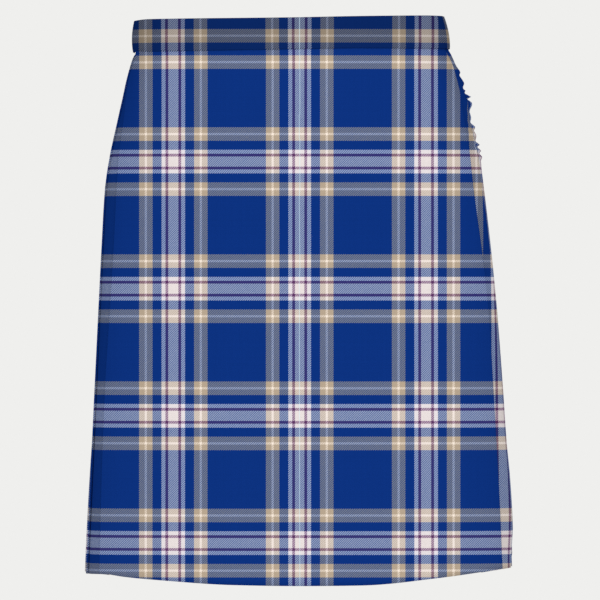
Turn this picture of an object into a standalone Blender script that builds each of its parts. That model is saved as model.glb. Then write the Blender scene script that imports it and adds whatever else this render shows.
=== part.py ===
"""A knife-pleated kilt, filled out as when it is worn, with nobody in it.

Metres, +Z up. The front faces -Y and +X is the wearer's left. The origin is the middle
of the waist, half way up the waistband.

The cloth is one long strip, so a place on it is given as in a tape measure round the
body: a distance along the outline of its level, counted from the wearer's right side,
across the front, round the back and under the front again, and a depth in from the
outline. The outline of each level is two half superellipses that meet at the sides.
"""

from collections import namedtuple

import bpy
import numpy as np

# The cloth
CLOTH = 0.0010  # thickness of the worsted
SEAM_GAP = 0.0003  # between pieces that are sewn together
PRESSED_PITCH = 0.0016  # from one layer of a pressed pleat to the next, middle to middle
LOOSE_PITCH = 0.0020  # the same at the hem, where the pleats hang free
FELL_HEIGHT = -0.165  # the pleats are stitched down from the waist to here

# The pleated back
PLEATS = 30
LAST_PLEAT_UNDER_APRON = 0.008  # how far the last fold lies under the free edge

# The waistband, a strip folded over the top of the cloth
BAND_TOP = 0.0176
BAND_BOTTOM = -0.0182
BAND_INNER_BOTTOM = -0.0150
BAND_ROLL = 0.0020  # how far the middle of its outer face rounds out
BAND_CHAMFER = 0.0008  # how far its top fold is cut in at each edge
BAND_GAP = 0.0006  # between the band's leaves and the cloth inside it
BAND_PAST_CLOTH = 0.002  # it closes this far past the under apron's end
BAND_SHOULDER = 0.0145
OUTER_LEAF, INNER_LEAF = 0, 1
# Heights up its outer face, and the share of the roll at each
BAND_FACE = [(BAND_BOTTOM, 0.0), (-0.006, 0.9), (0.006, 1.0), (BAND_SHOULDER, 0.4)]
# Its inner leaf steps in before the first pleat's inner fold, and out after the last
BAND_RAMP = (0.022, 0.013, 0.004)
UNDER_RAMP = (0.004, 0.014, 0.024)
TAB_PAST_SIDE = 0.006  # the free end reaches this far past the wearer's right side
CLOTH_TOP = 0.0120  # the cloth ends here, inside the band
FASTENER_ROOM = 0.0036  # between the two bands where one lies over the other

# The under apron
UNDER_APRON_DEPTH = 0.0030  # below the outer apron, from the hip down
UNDER_APRON_SHORT = 0.030  # it ends this far before the first pleat's inner fold
UNDER_APRON_LIFT = 0.005  # its hem is this much higher, so that it doesn't show

# Hook and bar fasteners, one pair at each end of the overlap
HOOK_WIDTH = 0.010
HOOK_PLATE = 0.0005
HOOK_LENGTH = 0.009
HOOK_TONGUE = 0.004
HOOK_OPENING = 0.0016
BAR_WIRE = 0.0006
BAR_LENGTH = 0.014
OUTER_HOOK_AT = 0.016  # past the wearer's right side
INNER_HOOK_BACK = 0.016  # back from the under apron's end

# Columns of points across the aprons and the band's tab
APRON_COLUMNS = 26
UNDER_COLUMNS = 22
TAB_COLUMNS = 5

# How square the outline is: 2 is an ellipse, and more is squarer
FRONT_SQUARENESS = 3.0
BACK_SQUARENESS = 2.3
OUTLINE_POINTS = 1440

# One row for each level, from the top down: the outline's reach to each side, the depth
# at which it is widest, its front and back, where the outer apron's free edge and its
# folded edge lie across the front, and how far the last pleats go in under the apron.
Level = namedtuple(
    "Level", "height left right side front back free_edge folded_edge underlay"
)
LEVELS = [
    Level(0.0176, -0.1672, 0.1619, -0.004, -0.106, 0.114, -0.1650, 0.1597, 0.00780),
    Level(-0.0182, -0.1683, 0.1683, -0.006, -0.107, 0.117, -0.1656, 0.1660, 0.00780),
    Level(-0.0500, -0.1805, 0.1844, -0.012, -0.112, 0.126, -0.1731, 0.1776, 0.00480),
    Level(-0.1000, -0.1903, 0.1942, -0.020, -0.118, 0.140, -0.1791, 0.1878, 0.00280),
    Level(-0.1650, -0.2010, 0.2058, -0.028, -0.124, 0.152, -0.1867, 0.1958, 0.00180),
    Level(-0.2300, -0.2049, 0.2133, -0.031, -0.128, 0.158, -0.1909, 0.2047, 0.00180),
    Level(-0.2900, -0.2079, 0.2195, -0.032, -0.131, 0.162, -0.1939, 0.2120, 0.00190),
    Level(-0.3800, -0.2125, 0.2268, -0.032, -0.136, 0.169, -0.1984, 0.2172, 0.00200),
    Level(-0.4800, -0.2177, 0.2333, -0.032, -0.142, 0.177, -0.2018, 0.2229, 0.00220),
    Level(-0.5750, -0.2224, 0.2380, -0.032, -0.148, 0.185, -0.2044, 0.2271, 0.00240),
]

# The hem, across the front and across the back
HemPoint = namedtuple("HemPoint", "across height")
FRONT_HEM = [
    HemPoint(-0.2224, -0.5784),
    HemPoint(-0.2040, -0.5784),
    HemPoint(-0.1400, -0.5848),
    HemPoint(-0.0600, -0.5908),
    HemPoint(0.0100, -0.5917),
    HemPoint(0.0750, -0.5906),
    HemPoint(0.1600, -0.5826),
    HemPoint(0.2020, -0.5741),
    HemPoint(0.2380, -0.5635),
]
BACK_HEM = [
    HemPoint(-0.2224, -0.5784),
    HemPoint(0.0000, -0.5716),
    HemPoint(0.2000, -0.5670),
    HemPoint(0.2380, -0.5540),
]

# Colours: the worsted's ground and the nickel of the fasteners
KILT_BLUE = (0.0044, 0.0319, 0.2122, 1.0)
BAND_BLUE = (0.0040, 0.0203, 0.1221, 1.0)
NICKEL = (0.60, 0.58, 0.54, 1.0)


def goes_back(point, following):
    """Whether a step from one point to the next goes against the tape."""
    middle = LEVELS[-1].side
    turn = point[0] * (following[1] - middle) - (point[1] - middle) * following[0]
    return turn < 0


def smooth_step(start, end, value):
    """0 before start, 1 after end, and a soft S between them."""
    t = np.clip((value - start) / (end - start), 0.0, 1.0)
    return float(t * t * (3.0 - 2.0 * t))


def through(xs, ys, x):
    """The height at x of a smooth curve through the points, which are in rising order."""
    xs, ys = np.asarray(xs, float), np.asarray(ys, float)
    slopes = np.gradient(ys, xs)
    i = int(np.clip(np.searchsorted(xs, x) - 1, 0, len(xs) - 2))
    width = xs[i + 1] - xs[i]
    t = float(np.clip((x - xs[i]) / width, 0.0, 1.0))
    from_left = (1 + 2 * t) * (1 - t) ** 2 * ys[i] + t * (1 - t) ** 2 * width * slopes[i]
    from_right = t * t * (3 - 2 * t) * ys[i + 1] - t * t * (1 - t) * width * slopes[i + 1]
    return float(from_left + from_right)


def level_at(height):
    """The row for any height: straight up the waistband, and smooth curves below it."""
    if height > BAND_BOTTOM:
        top, seam = LEVELS[:2]
        share = (height - seam.height) / (top.height - seam.height)
        values = [low + share * (high - low) for low, high in zip(seam[1:], top[1:])]
        return Level(height, *values)
    rows = LEVELS[:0:-1]
    heights = [row.height for row in rows]
    columns = list(zip(*rows))[1:]
    return Level(height, *(through(heights, column, height) for column in columns))


def hem_height(across, in_front):
    """The hem's height at a place across the front or the back."""
    rows = FRONT_HEM if in_front else BACK_HEM
    return through([r.across for r in rows], [r.height for r in rows], across)


class Outline:
    """The kilt's outline at one height, measured along like a tape."""

    def __init__(self, height):
        self.level = level_at(height)
        row = self.level
        middle = (row.left + row.right) / 2
        half = (row.right - row.left) / 2
        angle = np.linspace(np.pi, 3 * np.pi, OUTLINE_POINTS + 1)
        along, out = np.abs(np.cos(angle)), np.sin(angle)
        front = out < 0
        depth = np.where(front, row.side - row.front, row.back - row.side)
        power = np.where(front, FRONT_SQUARENESS, BACK_SQUARENESS)
        reach = ((along / half) ** power + (np.abs(out) / depth) ** power) ** (-1 / power)
        self.points = np.stack(
            [middle + reach * np.cos(angle), row.side + reach * out], axis=1
        )
        steps = np.linalg.norm(np.diff(self.points, axis=0), axis=1)
        self.tape = np.concatenate([[0.0], np.cumsum(steps)])
        self.round = float(self.tape[-1])
        ahead = np.roll(self.points[:-1], -1, axis=0)
        behind = np.roll(self.points[:-1], 1, axis=0)
        tangent = ahead - behind
        tangent /= np.linalg.norm(tangent, axis=1)[:, None]
        outward = np.stack([tangent[:, 1], -tangent[:, 0]], axis=1)
        self.outward = np.vstack([outward, outward[:1]])
        self.free = self.at_front(row.free_edge)
        self.folded = self.at_front(row.folded_edge)
        last_fold = self.round + self.free + LAST_PLEAT_UNDER_APRON
        self.pleat = (last_fold - self.folded) / PLEATS
        loose = 1 - smooth_step(LEVELS[-1].height, FELL_HEIGHT, height)
        self.pitch = PRESSED_PITCH + (LOOSE_PITCH - PRESSED_PITCH) * loose

    def at_front(self, across):
        """The tape's reading where the front of the outline is this far across."""
        front = self.tape[: OUTLINE_POINTS // 2 + 1]
        return float(np.interp(across, self.points[: OUTLINE_POINTS // 2 + 1, 0], front))

    def fold(self, number):
        """The tape's reading at an outer fold. Fold 0 is the apron's, and -1 is its root."""
        return self.folded + number * self.pleat

    def underlay(self, tape):
        """How far in the last pleats lie, so that the apron's free edge covers them."""
        end = self.round - TAB_PAST_SIDE - 0.004
        return self.level.underlay * smooth_step(end - 0.066, end, tape)

    def place(self, tape, depth):
        """The point at a tape reading, this far in from the outline, as x and y."""
        reading = tape % self.round
        x, y = (np.interp(reading, self.tape, self.points[:, i]) for i in (0, 1))
        nx, ny = (np.interp(reading, self.tape, self.outward[:, i]) for i in (0, 1))
        size = np.hypot(nx, ny)
        return np.array([x - depth * nx / size, y - depth * ny / size])


# Where the columns of points stand along each piece, at one level


def apron_stations(outline):
    """Tape readings across the outer apron, from its free edge to its fold."""
    first = outline.free + LAST_PLEAT_UNDER_APRON
    root = outline.fold(-1)
    across = np.linspace(first, root - BAND_RAMP[0], APRON_COLUMNS)
    to_fold = [root - BAND_RAMP[1], root - BAND_RAMP[2], root, outline.fold(0)]
    return [outline.free, *across, *to_fold]


def under_apron_stations(outline):
    """Tape readings along the under apron, from its root in the last pleat to its end."""
    last = outline.fold(PLEATS)
    end = outline.round + outline.fold(-1) - UNDER_APRON_SHORT
    settling = [last + past for past in UNDER_RAMP]
    across = np.linspace(settling[-1], end, UNDER_COLUMNS)[1:]
    return [outline.fold(PLEATS - 1), last, *settling, *across]


def band_stations(outline):
    """Tape readings along the band, over the aprons' own and the pleats' folds."""
    tab = np.linspace(-TAB_PAST_SIDE, outline.free, TAB_COLUMNS)[:-1]
    folds = [outline.fold(number) for number in range(PLEATS - 1)]
    under = under_apron_stations(outline)
    end = under[-1] + BAND_PAST_CLOTH
    return [*tab, *apron_stations(outline)[:-1], *folds, *under, end]


# What each piece of the skirt follows at one level: tape readings and depths


def outer_apron_path(outline):
    """From the free edge across the front, round the fold and back under it."""
    middle = CLOTH / 2
    face = [(tape, middle) for tape in apron_stations(outline)]
    under = [
        (outline.fold(0), middle + outline.pitch),
        (outline.fold(-1), middle + 3 * outline.pitch),
    ]
    return face + under


def pleated_back_path(outline):
    """Each pleat comes out from under the one before, turns at its fold and goes back."""
    path = []
    for number in range(1, PLEATS + 1):
        for fold, layers in (
            (number - 2, 4),
            (number - 1, 2),
            (number, 0),
            (number, 1),
            (number - 1, 3),
        ):
            tape = outline.fold(fold)
            depth = CLOTH / 2 + layers * outline.pitch + outline.underlay(tape)
            path.append((tape, depth))
    return path


def under_apron_path(outline):
    """From the last pleat's inner fold, under the outer apron to the other side."""
    root, *rest = under_apron_stations(outline)
    underlay, last = outline.level.underlay, rest[0]
    stacked = underlay + 2 * outline.pitch
    resting = max(underlay, UNDER_APRON_DEPTH)
    path = [(root, CLOTH / 2 + 4 * outline.pitch + outline.underlay(root))]
    for tape in rest:
        settled = smooth_step(last, last + UNDER_RAMP[-1], tape)
        path.append((tape, CLOTH / 2 + stacked + (resting - stacked) * settled))
    return path


def cloth_heights():
    """The heights of the rows of points in a piece of the skirt, without its hem."""
    return [CLOTH_TOP] + [row.height for row in LEVELS[1:-1]]


def skirt_rows(path, hem_lift=0.0):
    """Rows of points from the waist to the hem, for a piece that follows this path."""
    rows = []
    for height in cloth_heights():
        outline = Outline(height)
        rows.append([(*outline.place(*step), height) for step in path(outline)])
    outline = Outline(LEVELS[-1].height)
    hem = []
    for step in path(outline):
        x, y = outline.place(*step)
        hem.append((x, y, hem_height(x, y < outline.level.side) + hem_lift))
    rows.append(hem)
    return rows


def band_depths(outline, tape):
    """The depths of the middle of the band's outer leaf and inner leaf, and its roll."""
    beside = BAND_GAP + CLOTH / 2
    single = CLOTH + beside
    stack = 4 * outline.pitch + single
    root, last = outline.fold(-1), outline.fold(PLEATS)
    into_pleats = smooth_step(root - BAND_RAMP[0], root - BAND_RAMP[2], tape)
    past_pleats = smooth_step(last + UNDER_RAMP[0], last + UNDER_RAMP[-1], tape)
    under = outline.underlay(min(tape, outline.round))
    inner = single + (stack - single) * (into_pleats - past_pleats)
    covered = outline.underlay(min(tape, outline.round)) / outline.level.underlay
    return under - beside, under + inner, BAND_ROLL * (1 - covered)


def waistband_rows():
    """One row for each line along the band: up its outer face, over and down inside."""
    lines = [
        (height, OUTER_LEAF, -rolled) for height, rolled in BAND_FACE
    ] + [
        (BAND_TOP - CLOTH / 2, OUTER_LEAF, BAND_CHAMFER),
        (BAND_TOP - CLOTH / 2, INNER_LEAF, -BAND_CHAMFER),
        (BAND_SHOULDER, INNER_LEAF, 0.0),
        (BAND_INNER_BOTTOM, INNER_LEAF, 0.0),
    ]
    rows = []
    for height, leaf, shift in lines:
        outline = Outline(height)
        row = []
        for tape in band_stations(outline):
            *leaves, roll = band_depths(outline, tape)
            rolled = shift * roll if shift < 0 and leaf == OUTER_LEAF else shift
            row.append((*outline.place(tape, leaves[leaf] + rolled), height))
        rows.append(row)
    return rows


def material(name, colour, roughness, metallic=0.0):
    """A plain finish of this colour."""
    made = bpy.data.materials.new(name)
    made.use_nodes = True
    shader = made.node_tree.nodes["Principled BSDF"]
    shader.inputs["Base Color"].default_value = colour
    shader.inputs["Roughness"].default_value = roughness
    shader.inputs["Metallic"].default_value = metallic
    made.diffuse_color = colour
    return made


def sheet(name, rows, thickness, finish, collection):
    """A wall of this thickness whose middle runs through the rows of points.

    Each cell is two triangles, split from its upper corner with the lower tape reading,
    so that layers that lie on each other bend alike and stay apart.
    """
    count = len(rows[0])
    points = [point for row in rows for point in row]
    faces = []
    for r in range(len(rows) - 1):
        for c in range(count - 1):
            upper, lower = r * count + c, (r + 1) * count + c
            if goes_back(rows[-1][c], rows[-1][c + 1]):
                faces += [(upper, lower, upper + 1), (upper + 1, lower, lower + 1)]
            else:
                faces += [(upper, lower, lower + 1), (upper, lower + 1, upper + 1)]
    mesh = bpy.data.meshes.new(name)
    mesh.from_pydata(points, [], faces)
    mesh.materials.append(finish)
    made = bpy.data.objects.new(name, mesh)
    collection.objects.link(made)
    wall = made.modifiers.new("wall", "SOLIDIFY")
    wall.thickness = thickness
    wall.offset = 0.0
    wall.use_even_offset = True
    return made


def hook(name, end, depth, inward, finish, collection):
    """A bent strip, sewn flat at one end, whose tongue turns back round the bar.

    end gives the tape reading of its bend. inward is 1 where it is sewn to the outer
    band and -1 on the under band.
    """
    profile = [
        (-inward * HOOK_LENGTH, 0.0),
        (-inward * HOOK_PLATE, 0.0),
        (0.0, 0.25),
        (0.0, 0.75),
        (-inward * HOOK_PLATE, 1.0),
        (-inward * HOOK_TONGUE, 1.0),
    ]
    rows = []
    for height in (HOOK_WIDTH / 2, -HOOK_WIDTH / 2):
        outline = Outline(height)
        row = []
        for along, across in profile:
            inset = depth + inward * across * HOOK_OPENING
            row.append((*outline.place(end(outline) + along, inset), height))
        rows.append(row)
    return sheet(name, rows, HOOK_PLATE, finish, collection)


def bar(name, middle, depth, foot_depth, finish, collection):
    """A wire staple: two feet on the band, and the bar that the hook holds."""
    half = BAR_LENGTH / 2
    curve = bpy.data.curves.new(name, "CURVE")
    curve.dimensions = "3D"
    curve.bevel_depth = BAR_WIRE / 2
    curve.bevel_resolution = 1
    curve.use_fill_caps = True
    line = curve.splines.new("POLY")
    stops = [
        (foot_depth, half),
        (depth, half - BAR_WIRE),
        (depth, -half + BAR_WIRE),
        (foot_depth, -half),
    ]
    line.points.add(len(stops) - 1)
    for point, (inset, height) in zip(line.points, stops):
        outline = Outline(height)
        x, y = outline.place(middle(outline), inset)
        point.co = (x, y, height, 1.0)
    curve.materials.append(finish)
    made = bpy.data.objects.new(name, curve)
    collection.objects.link(made)
    return made


def fasteners(finish, collection):
    """The two pairs that close the overlap, between the outer band and the under band."""
    outer_face = 2 * CLOTH + BAND_GAP
    under_face = outer_face + FASTENER_ROOM
    clear = SEAM_GAP + HOOK_PLATE / 2
    foot = SEAM_GAP + BAR_WIRE / 2
    bend = HOOK_OPENING / 2

    def outer_end(outline):
        return OUTER_HOOK_AT

    def inner_end(outline):
        return outline.fold(-1) - UNDER_APRON_SHORT - INNER_HOOK_BACK

    def outer_middle(outline):
        return outer_end(outline) - bend

    def inner_middle(outline):
        return inner_end(outline) + bend

    depth = outer_face + clear
    hook("outer_hook", outer_end, depth, 1, finish, collection)
    bar("outer_bar", outer_middle, depth + bend, under_face - foot, finish, collection)
    depth = under_face - clear
    hook("inner_hook", inner_end, depth, -1, finish, collection)
    bar("inner_bar", inner_middle, depth - bend, outer_face + foot, finish, collection)


def main():
    for old in list(bpy.data.objects):
        bpy.data.objects.remove(old, do_unlink=True)
    kilt = bpy.data.collections.new("kilt")
    bpy.context.scene.collection.children.link(kilt)
    worsted = material("kilt_worsted", KILT_BLUE, 0.85)
    band_cloth = material("band_worsted", BAND_BLUE, 0.85)
    nickel = material("nickel", NICKEL, 0.3, 1.0)
    sheet("outer_apron", skirt_rows(outer_apron_path), CLOTH, worsted, kilt)
    sheet("pleated_back", skirt_rows(pleated_back_path), CLOTH, worsted, kilt)
    under_rows = skirt_rows(under_apron_path, UNDER_APRON_LIFT)
    sheet("under_apron", under_rows, CLOTH, worsted, kilt)
    sheet("waistband", waistband_rows(), CLOTH, band_cloth, kilt)
    fasteners(nickel, kilt)


main()
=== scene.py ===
# %% [markdown]
# # A kilt: one strip of tartan, pleated round the back
#
# A kilt is one long strip of worsted wool. Its two ends lie flat across the front, one
# over the other, and everything between them is folded into knife pleats that are sewn
# down from the waist to the hip and hang free below it. A folded band holds the top.
#
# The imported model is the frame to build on: its solids say where each piece lies. This
# first cell loads it and keeps its box, so that the finished kilt can be compared with it.

# %% Load the frame
from collections import namedtuple

import bpy
import numpy as np
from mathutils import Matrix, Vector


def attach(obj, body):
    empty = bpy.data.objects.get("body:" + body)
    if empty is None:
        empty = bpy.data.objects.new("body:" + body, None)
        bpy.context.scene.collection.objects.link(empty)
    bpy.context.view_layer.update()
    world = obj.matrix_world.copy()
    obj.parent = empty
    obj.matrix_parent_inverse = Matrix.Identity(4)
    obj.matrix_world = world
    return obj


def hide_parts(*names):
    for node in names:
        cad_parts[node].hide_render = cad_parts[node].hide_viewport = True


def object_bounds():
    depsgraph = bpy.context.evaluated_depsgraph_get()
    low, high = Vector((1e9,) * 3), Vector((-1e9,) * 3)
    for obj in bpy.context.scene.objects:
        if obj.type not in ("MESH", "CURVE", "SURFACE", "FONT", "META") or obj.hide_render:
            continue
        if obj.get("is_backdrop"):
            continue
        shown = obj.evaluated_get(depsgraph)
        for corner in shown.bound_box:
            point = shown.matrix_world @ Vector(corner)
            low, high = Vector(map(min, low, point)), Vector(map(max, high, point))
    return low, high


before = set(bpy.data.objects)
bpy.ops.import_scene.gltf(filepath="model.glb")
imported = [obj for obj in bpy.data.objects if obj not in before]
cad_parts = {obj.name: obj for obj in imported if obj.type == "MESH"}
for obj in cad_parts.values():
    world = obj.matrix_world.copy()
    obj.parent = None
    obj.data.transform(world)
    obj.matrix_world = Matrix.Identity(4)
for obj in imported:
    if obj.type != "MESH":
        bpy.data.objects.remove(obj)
cad_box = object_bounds()
print("pieces to dress:", ", ".join(sorted(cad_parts)))

# %% [markdown]
# ## The body shape
#
# A worn kilt follows the waist, flares over the hip and then hangs nearly straight. It
# could be sculpted, or simulated on a dummy, but pressed cloth keeps the shape it was cut
# and sewn to, so a short table of its levels describes it well. Each row gives, at one
# height, how far the outline reaches to each side, the depth at which it is widest, its
# front and back, where the outer apron's two edges lie across the front, and how far in
# the last pleats lie under the apron. Smooth curves join the rows.

# %% The levels of the kilt
Level = namedtuple(
    "Level", "height left right side front back free_edge folded_edge underlay"
)


def table(columns, *rows):
    """Rows of plain values, read into named columns."""
    return [columns(*row) for row in rows]


LEVELS = table(
    Level,
    (0.0176, -0.1672, 0.1635, -0.0040, -0.1060, 0.114, -0.1650, 0.1597, 0.0078),
    (-0.0182, -0.1683, 0.1696, -0.0060, -0.1070, 0.117, -0.1656, 0.1660, 0.0078),
    (-0.0220, -0.1712, 0.1718, -0.0067, -0.1076, 0.118, -0.1660, 0.1676, 0.0034),
    (-0.0300, -0.1738, 0.1755, -0.0080, -0.1090, 0.120, -0.1680, 0.1720, 0.0024),
    (-0.0500, -0.1790, 0.1823, -0.0120, -0.1120, 0.126, -0.1731, 0.1782, 0.0020),
    (-0.0700, -0.1832, 0.1879, -0.0155, -0.1145, 0.132, -0.1757, 0.1828, 0.0019),
    (-0.0850, -0.1865, 0.1915, -0.0178, -0.1163, 0.136, -0.1774, 0.1852, 0.0018),
    (-0.1000, -0.1898, 0.1934, -0.0200, -0.1180, 0.140, -0.1791, 0.1878, 0.0018),
    (-0.1150, -0.1932, 0.1976, -0.0221, -0.1196, 0.144, -0.1812, 0.1900, 0.0018),
    (-0.1300, -0.1963, 0.2022, -0.0240, -0.1210, 0.147, -0.1830, 0.1920, 0.0018),
    (-0.1650, -0.2016, 0.2071, -0.0280, -0.1240, 0.152, -0.1850, 0.1958, 0.0018),
    (-0.2300, -0.2054, 0.2147, -0.0310, -0.1280, 0.158, -0.1876, 0.2047, 0.0018),
    (-0.2900, -0.2085, 0.2207, -0.0320, -0.1310, 0.162, -0.1905, 0.2120, 0.0019),
    (-0.3800, -0.2129, 0.2272, -0.0320, -0.1360, 0.169, -0.1951, 0.2172, 0.0020),
    (-0.4360, -0.2155, 0.2308, -0.0320, -0.1393, 0.173, -0.1969, 0.2205, 0.0020),
    (-0.4800, -0.2176, 0.2348, -0.0320, -0.1420, 0.177, -0.1981, 0.2229, 0.0020),
    (-0.5300, -0.2199, 0.2372, -0.0320, -0.1451, 0.181, -0.1993, 0.2252, 0.0020),
    (-0.5600, -0.2213, 0.2361, -0.0320, -0.1470, 0.184, -0.2000, 0.2264, 0.0020),
    (-0.5750, -0.2220, 0.2365, -0.0320, -0.1480, 0.185, -0.2004, 0.2271, 0.0020),
)
BAND_TOP, BAND_BOTTOM, HEM_LEVEL = (LEVELS[row].height for row in (0, 1, -1))
HIP = -0.165  # the pleats are sewn down to here
FREE_LENGTH = HIP - HEM_LEVEL


def join(*parts):
    """Several short rows of numbers as one."""
    return np.concatenate(parts)


def readings(steps, axis=0):
    """The length that has run by, from 0, at the end of each step."""
    start = np.zeros_like(np.take(steps, [0], axis=axis))
    return np.concatenate([start, np.cumsum(steps, axis=axis)], axis=axis)


def smooth_step(start, end, value):
    """0 before start, 1 after end, and a soft S between them."""
    t = np.clip((np.asarray(value, float) - start) / (end - start), 0.0, 1.0)
    return t * t * (3.0 - 2.0 * t)


def through(xs, ys, x):
    """A smooth curve through the points, which are in rising order, read at x.

    It never swings past a point: its slope there is the harmonic mean of the slopes on
    both sides, or level where they disagree.
    """
    xs, ys = np.asarray(xs, float), np.asarray(ys, float)
    x = np.clip(np.asarray(x, float), xs[0], xs[-1])
    rises = np.diff(ys) / np.diff(xs)
    product, total = rises[:-1] * rises[1:], rises[:-1] + rises[1:]
    agree = product > 0
    inner = np.where(agree, 2 * product / np.where(agree, total, 1.0), 0.0)
    slopes = join(rises[:1], inner, rises[-1:])
    i = np.clip(np.searchsorted(xs, x) - 1, 0, len(xs) - 2)
    width = xs[i + 1] - xs[i]
    t = (x - xs[i]) / width
    from_left = (1 + 2 * t) * (1 - t) ** 2 * ys[i] + t * (1 - t) ** 2 * width * slopes[i]
    from_right = t * t * (3 - 2 * t) * ys[i + 1] - t * t * (1 - t) * width * slopes[i + 1]
    return from_left + from_right


def level_at(height):
    """The row for any height: straight up the waistband, and smooth curves below it."""
    rows = LEVELS[1::-1] if height > BAND_BOTTOM else LEVELS[:0:-1]
    heights = [row.height for row in rows]
    columns = list(zip(*rows))[1:]
    return Level(height, *(float(through(heights, column, height)) for column in columns))


print("levels:", len(LEVELS), "from", BAND_TOP, "to", HEM_LEVEL, "m")

# %% [markdown]
# ## A tape measure round the kilt
#
# Cloth is laid out by length, so a place on the kilt is given as a tailor would: a
# reading on a tape that starts at the wearer's right side and runs across the front,
# round the back and under the front again, and a depth in from the outside. The outline
# is two half superellipses, squarer in front than behind. A superellipse was chosen over
# a spline because four sizes set it, and its normals are smooth all round.

# %% The outline of one level
FRONT_SQUARENESS = 3.0
BACK_SQUARENESS = 2.3
OUTLINE_POINTS = 1440
PLEATS = 30
LAST_PLEAT_UNDER_APRON = 0.008
COVERED_FOLD = 0.004
FOLD_BEHIND_SIDE = 0.003
CLOSER_FROM = 22
UNDERLAY_FROM, UNDERLAY_BY = 0.076, 0.010  # before the tape's end, the pleats go in
PRESSED_PITCH = 0.0016  # from one pressed layer to the next
LOOSE_PITCH = 0.0020  # the same at the hem
# A pressed fold turns through three points, given in half pitches along and in
TURN_ALONG = np.array([-0.35, 0.0, -0.35])
TURN_IN = np.array([0.15, 1.0, 1.85])


class Outline:
    """The kilt's outline at one height, measured along like a tape."""

    def __init__(self, height):
        row = self.level = level_at(height)
        middle, half = (row.left + row.right) / 2, (row.right - row.left) / 2
        angle = np.linspace(np.pi, 3 * np.pi, OUTLINE_POINTS + 1)
        along, out = np.abs(np.cos(angle)), np.sin(angle)
        front = out < 0
        depth = np.where(front, row.side - row.front, row.back - row.side)
        power = np.where(front, FRONT_SQUARENESS, BACK_SQUARENESS)
        reach = ((along / half) ** power + (np.abs(out) / depth) ** power) ** (-1 / power)
        self.points = np.stack(
            [middle + reach * np.cos(angle), row.side + reach * out], axis=1
        )
        steps = np.linalg.norm(np.diff(self.points, axis=0), axis=1)
        self.tape = readings(steps)
        self.round = float(self.tape[-1])
        tangent = np.roll(self.points[:-1], -1, axis=0) - np.roll(self.points[:-1], 1, axis=0)
        tangent /= np.linalg.norm(tangent, axis=1)[:, None]
        outward = np.stack([tangent[:, 1], -tangent[:, 0]], axis=1)
        self.outward = np.vstack([outward, outward[:1]])
        self.free = self.at_front(row.free_edge)
        self.folded = self.at_front(row.folded_edge)
        last_fold = self.round + self.free + LAST_PLEAT_UNDER_APRON
        self.pleat = (last_fold - self.folded) / PLEATS
        loose = 1 - smooth_step(HEM_LEVEL, HIP, height)
        self.pitch = PRESSED_PITCH + (LOOSE_PITCH - PRESSED_PITCH) * float(loose)

    def at_front(self, across):
        """The tape's reading where the front of the outline is this far across."""
        half = OUTLINE_POINTS // 2 + 1
        return float(np.interp(across, self.points[:half, 0], self.tape[:half]))

    def fold(self, number):
        """The tape's reading at an outer fold. Fold 0 is the apron's, and -1 is its root.

        The last folds are moved: one lies just behind the wearer's right side, and the
        pleat after it is a wide flat one, whose fold is covered by the apron.
        """
        reading = self.folded + number * self.pleat
        if number == PLEATS - 1:
            return self.round + self.free + COVERED_FOLD
        if number < PLEATS and number > CLOSER_FROM:
            share = (number - CLOSER_FROM) / (PLEATS - 2 - CLOSER_FROM)
            last = self.folded + (PLEATS - 2) * self.pleat
            reading += share * (self.round - FOLD_BEHIND_SIDE - last)
        return reading

    def underlay(self, tape):
        """How far in the last pleats lie, so that the apron's free edge covers them."""
        start, end = self.round - UNDERLAY_FROM, self.round - UNDERLAY_BY
        return self.level.underlay * smooth_step(start, end, tape)

    def place(self, tape, depth):
        """The points at these tape readings, this far in from the outline."""
        reading = np.asarray(tape, float) % self.round
        x, y = (np.interp(reading, self.tape, self.points[:, i]) for i in (0, 1))
        nx, ny = (np.interp(reading, self.tape, self.outward[:, i]) for i in (0, 1))
        size = np.hypot(nx, ny)
        return x - depth * nx / size, y - depth * ny / size


for name, height in (("waist", 0.0), ("hip", HIP), ("hem", HEM_LEVEL)):
    at = Outline(height)
    print(f"{name}: {at.round * 1000:.0f} mm round, {at.pleat * 1000:.1f} mm to a pleat")

# %% [markdown]
# ## The hem and the rows of the cloth
#
# A kilt's hem is the woven edge of the strip, so it has no turned-up hem: it only curves,
# because the front hangs a little lower than the sides. Every piece of the skirt is a
# grid of points: rows down from inside the band to the hem, columns along the tape. The
# rows close to the hem bend towards its curve.

# %% Rows from the waist to the hem
HemPoint = namedtuple("HemPoint", "across height")
FRONT_HEM = table(
    HemPoint,
    (-0.2224, -0.5784),
    (-0.2040, -0.5784),
    (-0.1780, -0.5818),
    (-0.1400, -0.5852),
    (-0.0600, -0.5903),
    (0.0100, -0.5913),
    (0.0750, -0.5907),
    (0.1600, -0.5826),
    (0.2020, -0.5769),
    (0.2380, -0.5715),
)
BACK_HEM = table(
    HemPoint,
    (-0.2224, -0.5784),
    (0.0000, -0.5716),
    (0.2000, -0.5670),
    (0.2380, -0.5540),
)
CLOTH_TOP = 0.0120  # the cloth ends here, inside the band
PUCKERS_START, PUCKERS_END = -0.0385, -0.1370  # the rows are close together between these
SEWN_ROWS_END = -0.150
BEHIND_FROM, BEHIND_BY = -0.004, 0.045  # here the front hem passes into the back one
LEVEL_ROWS_END = -0.530  # the rows below this one bend towards the hem

row_heights = join(
    np.linspace(CLOTH_TOP, BAND_BOTTOM, 4)[:-1],
    np.linspace(BAND_BOTTOM, PUCKERS_START, 8)[:-1],
    np.linspace(PUCKERS_START, PUCKERS_END, 62)[:-1],
    np.linspace(PUCKERS_END, SEWN_ROWS_END, 5)[:-1],
    np.linspace(SEWN_ROWS_END, LEVEL_ROWS_END, 27)[:-1],
    np.linspace(LEVEL_ROWS_END, HEM_LEVEL, 9),
)
row_outlines = [Outline(float(height)) for height in row_heights]
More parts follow.
